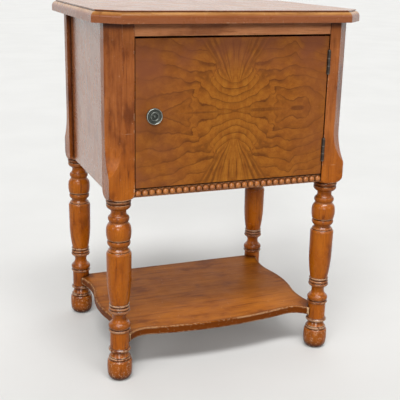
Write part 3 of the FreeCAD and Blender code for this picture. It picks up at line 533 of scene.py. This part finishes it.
# The shelf's darker shaded sides are painted shade on its edges
shelf_wood = varnished_wood("polished_shelf", "X", dark=srgb(104, 50, 8), middle=srgb(158, 86, 12),
                            light=srgb(184, 108, 22), worn=srgb(230, 194, 150), shaded_sides=srgb(122, 60, 16),
                            wear=0.8, gloss=0.34, shine=0.06)
veneer = figured_veneer("figured_veneer")
inner_level = raw_wood("plain_wood_level", "X")
inner_deep = raw_wood("plain_wood_deep", "Y")
inner_upright = raw_wood("plain_wood_upright", "Z")
dark_steel = aged_metal("dark_steel", srgb(28, 24, 22), srgb(62, 54, 48), srgb(112, 104, 96), 0.42)
pewter = aged_metal("old_pewter", srgb(20, 22, 20), srgb(88, 92, 86), srgb(204, 208, 200), 0.28, 0.7)

dress(upright, *matching("leg_post"))
dress(panel, *matching("side_panel"))
dress(level, "front_top_rail")
dress(door_core, "door_panel")
dress(beads, "bead_moulding")
dress(polished, "top")
dress(shelf_wood, "lower_shelf")
dress(veneer, "door_veneer")
dress(inner_level, "rear_top_rail", "front_bottom_rail", "rear_bottom_rail", "bottom_board", "rail_dowels",
      "shelf_dowels")
dress(inner_deep, *matching("bottom_cleat", "top_cleat"))
dress(inner_upright, "back_panel", "door_stop")
dress(dark_steel, *matching("hinge_", "strike_", "catch_"), "top_screws", "knob_screw")
dress(pewter, "knob")


def sprung_coil():
    """The catch's spring as a piece of its own on the door's body, in place of the rigid one, which is
    hidden.
    """
    rigid = nodes["catch_spring"]
    coil = bpy.data.objects.new("catch_spring_coil", rigid.data.copy())
    coil.matrix_world = rigid.matrix_world
    bpy.context.scene.collection.objects.link(coil)
    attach(coil, "door")
    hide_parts("catch_spring")
    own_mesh(coil)


sprung_coil()


def soft_sun(name, towards, level, spread, colour=(1.0, 1.0, 1.0)):
    """Even light from a direction, as from a wide softbox far off; the spread is in degrees."""
    lamp = bpy.data.lights.new(name, "SUN")
    lamp.energy = level
    lamp.angle = math.radians(spread)
    lamp.color = colour
    lamp_object = bpy.data.objects.new(name, lamp)
    bpy.context.scene.collection.objects.link(lamp_object)
    lamp_object.rotation_euler = Vector(towards).to_track_quat("Z", "Y").to_euler()


def pale_room():
    """Even white light from all round: dimmer in front, brighter behind, as before a white wall."""
    world = bpy.data.worlds.new("pale_room")
    world.use_nodes = True
    tree = world.node_tree
    split = tree.nodes.new("ShaderNodeSeparateXYZ")
    tree.links.new(tree.nodes.new("ShaderNodeTexCoord").outputs["Generated"], split.inputs[0])
    x, y, _ = [Field(tree, socket) for socket in split.outputs]
    wall_x, wall_y = 0.34, 0.94
    behind = y * wall_y + x * wall_x
    strength = behind.step(0.0, 0.90, room_front, room_back)
    tree.links.new(strength.socket, tree.nodes["Background"].inputs["Strength"])
    tree.nodes["Background"].inputs["Color"].default_value = (1.0, 1.0, 1.0, 1.0)
    bpy.context.scene.world = world


def studio():
    """Floor, room and lights."""
    reach = 150.0
    mesh = bpy.data.meshes.new("floor")
    corners = [(-reach, -reach, 0.0), (reach, -reach, 0.0), (reach, reach, 0.0), (-reach, reach, 0.0)]
    mesh.from_pydata(corners, [], [(0, 1, 2, 3)])
    floor = bpy.data.objects.new("floor", mesh)
    bpy.context.scene.collection.objects.link(floor)
    floor.data.materials.append(pale_floor("pale_floor"))
    pale_room()
    soft_sun("window", (-0.36, -0.86, 0.36), 1.15, 12.0, (1.0, 0.99, 0.97))
    soft_sun("key", (0.60, -0.70, 0.38), 0.3, 24.0, (1.0, 0.98, 0.95))
    soft_sun("front", (-0.10, -0.95, 0.28), 0.25, 40.0)
    soft_sun("side", (-0.86, -0.32, 0.34), 0.4, 18.0)
    for name, sideways in (("ceiling_left", -0.42), ("ceiling_middle", -0.15), ("ceiling_right", 0.12)):
        soft_sun(name, (sideways, -0.40, 0.89), 0.65, 16.0)


def place_camera():
    """The camera at the photograph's place, turned by its yaw, pitch and roll."""
    data = bpy.data.cameras.new("camera")
    data.sensor_width = sensor_width
    data.lens = camera_lens
    camera = bpy.data.objects.new("camera", data)
    bpy.context.scene.collection.objects.link(camera)
    turn = Matrix.Rotation(math.radians(-camera_yaw), 4, "Z")
    tilt = Matrix.Rotation(math.radians(90.0 - camera_pitch), 4, "X")
    roll = Matrix.Rotation(math.radians(camera_roll), 4, "Z")
    camera.matrix_world = Matrix.Translation(camera_place) @ turn @ tilt @ roll
    bpy.context.scene.camera = camera


studio()
place_camera()
bpy.context.scene.view_settings.view_transform = "Standard"
